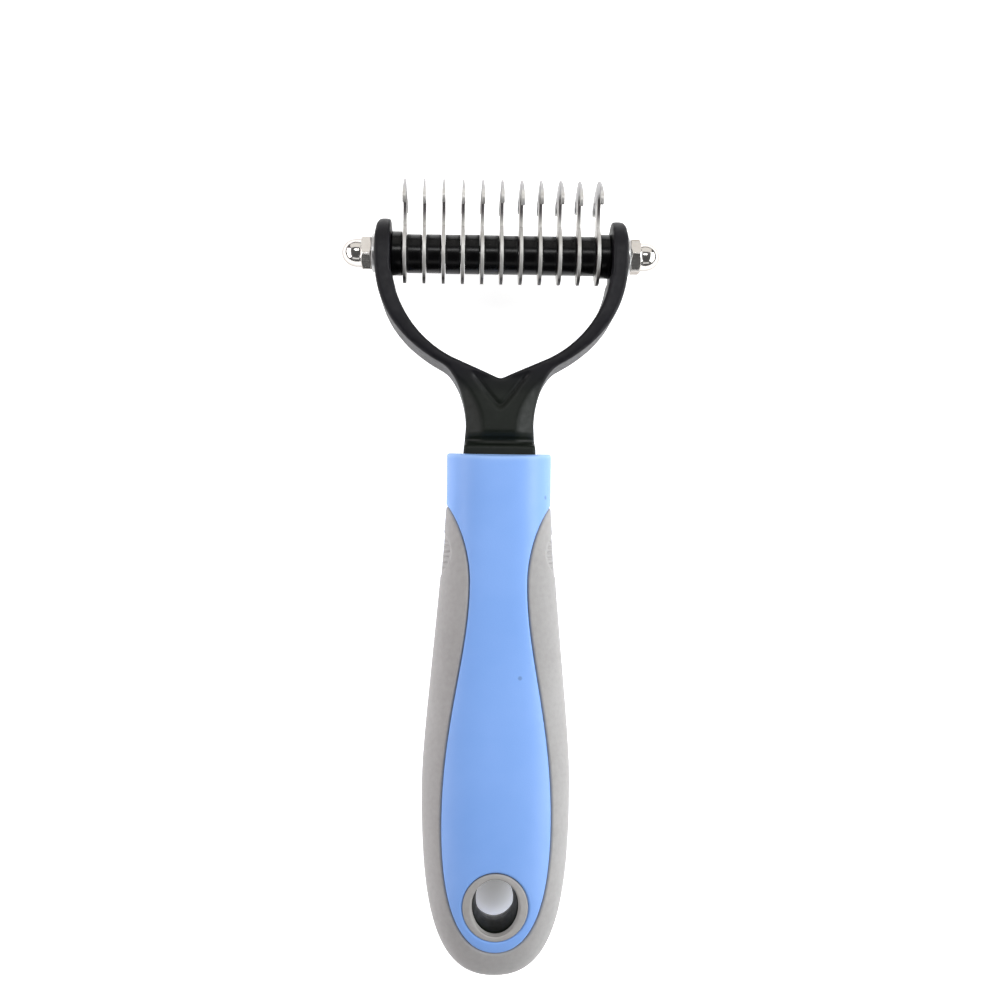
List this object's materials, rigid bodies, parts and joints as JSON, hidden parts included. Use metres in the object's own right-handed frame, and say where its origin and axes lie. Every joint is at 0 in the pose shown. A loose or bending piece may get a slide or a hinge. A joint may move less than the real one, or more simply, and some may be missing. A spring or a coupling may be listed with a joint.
{
  "type": "dematting comb",
  "caption": "Small dematting comb: hooked steel blades clamped on a threaded axle in a black fork, on a two-tone moulded handle with a hang hole.",
  "frame": {"origin": "middle of the base of the bounding box, with the comb lying on the back of its handle", "axes": "+Y from the butt of the handle to the blades, +X to the right seen from the front, +Z out of the front face"},
  "size_m": [0.0702, 0.175, 0.0244],
  "materials": {
    "blade_steel": "stamped stainless steel, satin with ground edges",
    "spacer_black": "semi-gloss black",
    "fork_nylon": "satin black nylon",
    "rod_steel": "zinc-plated steel",
    "washer_steel": "plated steel",
    "nut_chrome": "polished",
    "handle_blue": "smooth satin light blue",
    "grip_grey": "matte soft-touch grey",
    "bezel_grey": "matte soft-touch grey"
  },
  "bodies": {
    "handle": {"fork": "fork_nylon", "handle_core": "handle_blue", "grip_overmould": "grip_grey", "hang_bezel_front": "bezel_grey", "hang_bezel_back": "bezel_grey"},
    "blade_stack": {"axle_rod": "rod_steel", "blade_01": "blade_steel", "blade_02": "blade_steel", "blade_03": "blade_steel", "blade_04": "blade_steel", "blade_05": "blade_steel", "blade_06": "blade_steel", "blade_07": "blade_steel", "blade_08": "blade_steel", "blade_09": "blade_steel", "blade_10": "blade_steel", "blade_11": "blade_steel", "spacer_end_left": "spacer_black", "spacer_01": "spacer_black", "spacer_02": "spacer_black", "spacer_03": "spacer_black", "spacer_04": "spacer_black", "spacer_05": "spacer_black", "spacer_06": "spacer_black", "spacer_07": "spacer_black", "spacer_08": "spacer_black", "spacer_09": "spacer_black", "spacer_10": "spacer_black", "spacer_end_right": "spacer_black"},
    "washer_left": {"washer_left": "washer_steel"},
    "washer_right": {"washer_right": "washer_steel"},
    "nut_left": {"cap_nut_left": "nut_chrome"},
    "nut_right": {"cap_nut_right": "nut_chrome"}
  },
  "joints": [
    {"name": "blade_angle", "type": "hinge", "parent": "handle", "child": "blade_stack", "pos_m": [0, 0.0715, 0.01174], "axis": [1, 0, 0], "range_deg": [-105, 90]},
    {"name": "washer_left_slide", "type": "slide", "parent": "blade_stack", "child": "washer_left", "axis": [-1, 0, 0], "range_m": [0, 0.00385]},
    {"name": "nut_left_turn", "type": "hinge", "parent": "washer_left", "child": "nut_left", "pos_m": [-0.0285, 0.0715, 0.01174], "axis": [-1, 0, 0], "range_deg": [0, 1980]},
    {"name": "washer_right_slide", "type": "slide", "parent": "blade_stack", "child": "washer_right", "axis": [1, 0, 0], "range_m": [0, 0.00385]},
    {"name": "nut_right_turn", "type": "hinge", "parent": "washer_right", "child": "nut_right", "pos_m": [0.0285, 0.0715, 0.01174], "axis": [1, 0, 0], "range_deg": [0, 1980]}
  ],
  "couplings": [
    {"joint": "nut_left_turn", "follows": "washer_left_slide", "rad_per_m": 8976},
    {"joint": "nut_right_turn", "follows": "washer_right_slide", "rad_per_m": 8976}
  ]
}
